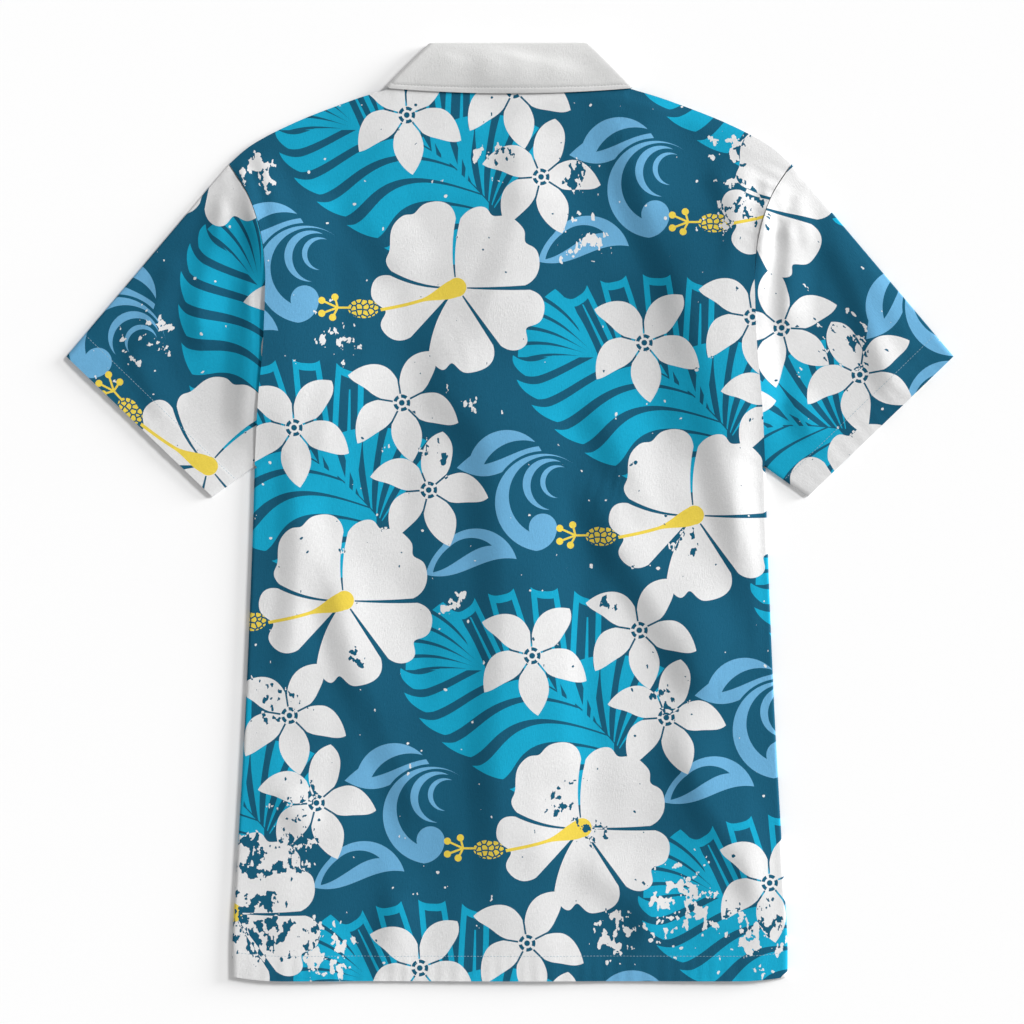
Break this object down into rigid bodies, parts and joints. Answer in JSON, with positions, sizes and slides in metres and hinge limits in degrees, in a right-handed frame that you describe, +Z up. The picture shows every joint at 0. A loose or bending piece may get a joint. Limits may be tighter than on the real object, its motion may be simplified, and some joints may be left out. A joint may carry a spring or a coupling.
{
  "type": "short-sleeved hawaiian shirt laid flat, back up",
  "caption": "Short-sleeved hawaiian shirt with a folded collar, lying flat and face down with its buttoned fronts underneath.",
  "frame": {"origin": "on the surface that the shirt lies on, under the middle of its outline", "axes": "+Z up, out of the shirt's back; +Y from the hem to the collar; +X to the right as one looks down on the back"},
  "size_m": [0.78, 0.8262, 0.0094],
  "materials": {
    "printed_cloth": "fine plain weave printed with hibiscus, plumeria and leaves in navy-teal, cyan, pale blue, yellow and white",
    "collar_cloth": "off-white plain weave with an edge stitch",
    "button_shell": "pale pearly four-hole button"
  },
  "bodies": {
    "root": {"back": "printed_cloth", "front_right": "printed_cloth", "front_left": "printed_cloth", "sleeve_right": "printed_cloth", "sleeve_left": "printed_cloth", "collar_fall": "collar_cloth", "collar_stand": "collar_cloth", "button_1": "button_shell", "button_2": "button_shell", "button_3": "button_shell", "button_4": "button_shell", "button_5": "button_shell", "button_6": "button_shell", "button_7": "button_shell"}
  },
  "joints": []
}
